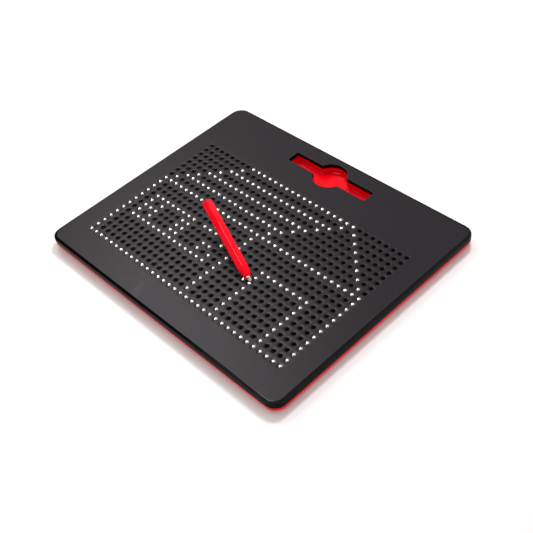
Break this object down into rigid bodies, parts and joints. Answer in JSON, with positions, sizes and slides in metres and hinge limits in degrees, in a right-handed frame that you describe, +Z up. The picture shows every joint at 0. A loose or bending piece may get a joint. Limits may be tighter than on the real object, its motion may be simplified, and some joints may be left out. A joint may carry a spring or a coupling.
{
  "type": "magnetic ball drawing board",
  "caption": "Flat drawing tablet: a black face with a grid of captive steel balls that a magnetic stylus lifts into view, a red back shell, and a recessed stylus pocket with a finger well.",
  "frame": {"origin": "on the surface that the board lies on, below the middle of the board", "axes": "+X along the long edge with the drawing the right way up, +Y from the drawing towards the stylus pocket, +Z up out of the drawing face"},
  "size_m": [0.3184, 0.2592, 0.047],
  "materials": {
    "cover_black": "fine matte texture on the face, polished on the rim",
    "shell_red": "gloss",
    "cell_plastic": "matte",
    "magnet_rubber": "matte",
    "screw_steel": "zinc plated",
    "foot_rubber": "matte",
    "ball_steel": "polished",
    "stylus_red": "gloss",
    "tip_steel": "satin polished",
    "magnet_nickel": "nickel plated"
  },
  "bodies": {
    "board": {"cover": "cover_black", "back_shell": "shell_red", "cell_plate": "cell_plastic", "magnet_sheet": "magnet_rubber", "case_screws": "screw_steel", "rubber_feet": "foot_rubber"},
    "balls_ground": {"balls_ground": "ball_steel"},
    "balls_walls": {"balls_walls": "ball_steel"},
    "balls_eave": {"balls_eave": "ball_steel"},
    "balls_ridge": {"balls_ridge": "ball_steel"},
    "balls_roof_slopes": {"balls_roof_slopes": "ball_steel"},
    "balls_roof_courses": {"balls_roof_courses": "ball_steel"},
    "balls_door": {"balls_door": "ball_steel"},
    "balls_window_left": {"balls_window_left": "ball_steel"},
    "balls_window_right": {"balls_window_right": "ball_steel"},
    "ball_dot": {"ball_dot": "ball_steel"},
    "balls_down_sky": {"balls_down_sky": "ball_steel"},
    "balls_down_roof": {"balls_down_roof": "ball_steel"},
    "balls_down_left_wall": {"balls_down_left_wall": "ball_steel"},
    "balls_down_right_wall": {"balls_down_right_wall": "ball_steel"},
    "stylus": {"stylus_barrel": "stylus_red", "stylus_tip": "tip_steel", "stylus_magnet": "magnet_nickel", "stylus_tail_cap": "stylus_red"}
  },
  "joints": [
    {"name": "balls_ground_press", "type": "slide", "parent": "board", "child": "balls_ground", "axis": [0, 0, 1], "range_m": [-0.005, 0]},
    {"name": "balls_walls_press", "type": "slide", "parent": "board", "child": "balls_walls", "axis": [0, 0, 1], "range_m": [-0.005, 0]},
    {"name": "balls_eave_press", "type": "slide", "parent": "board", "child": "balls_eave", "axis": [0, 0, 1], "range_m": [-0.005, 0]},
    {"name": "balls_ridge_press", "type": "slide", "parent": "board", "child": "balls_ridge", "axis": [0, 0, 1], "range_m": [-0.005, 0]},
    {"name": "balls_roof_slopes_press", "type": "slide", "parent": "board", "child": "balls_roof_slopes", "axis": [0, 0, 1], "range_m": [-0.005, 0]},
    {"name": "balls_roof_courses_press", "type": "slide", "parent": "board", "child": "balls_roof_courses", "axis": [0, 0, 1], "range_m": [-0.005, 0]},
    {"name": "balls_door_press", "type": "slide", "parent": "board", "child": "balls_door", "axis": [0, 0, 1], "range_m": [-0.005, 0]},
    {"name": "balls_window_left_press", "type": "slide", "parent": "board", "child": "balls_window_left", "axis": [0, 0, 1], "range_m": [-0.005, 0]},
    {"name": "balls_window_right_press", "type": "slide", "parent": "board", "child": "balls_window_right", "axis": [0, 0, 1], "range_m": [-0.005, 0]},
    {"name": "ball_dot_press", "type": "slide", "parent": "board", "child": "ball_dot", "axis": [0, 0, 1], "range_m": [-0.005, 0]},
    {"name": "balls_down_sky_lift", "type": "slide", "parent": "board", "child": "balls_down_sky", "axis": [0, 0, 1], "range_m": [0, 0.005]},
    {"name": "balls_down_roof_lift", "type": "slide", "parent": "board", "child": "balls_down_roof", "axis": [0, 0, 1], "range_m": [0, 0.005]},
    {"name": "balls_down_left_wall_lift", "type": "slide", "parent": "board", "child": "balls_down_left_wall", "axis": [0, 0, 1], "range_m": [0, 0.005]},
    {"name": "balls_down_right_wall_lift", "type": "slide", "parent": "board", "child": "balls_down_right_wall", "axis": [0, 0, 1], "range_m": [0, 0.005]},
    {"name": "stylus_lift", "type": "slide", "parent": "board", "child": "stylus", "axis": [0, 0, 1], "range_m": [0, 0.08]}
  ]
}
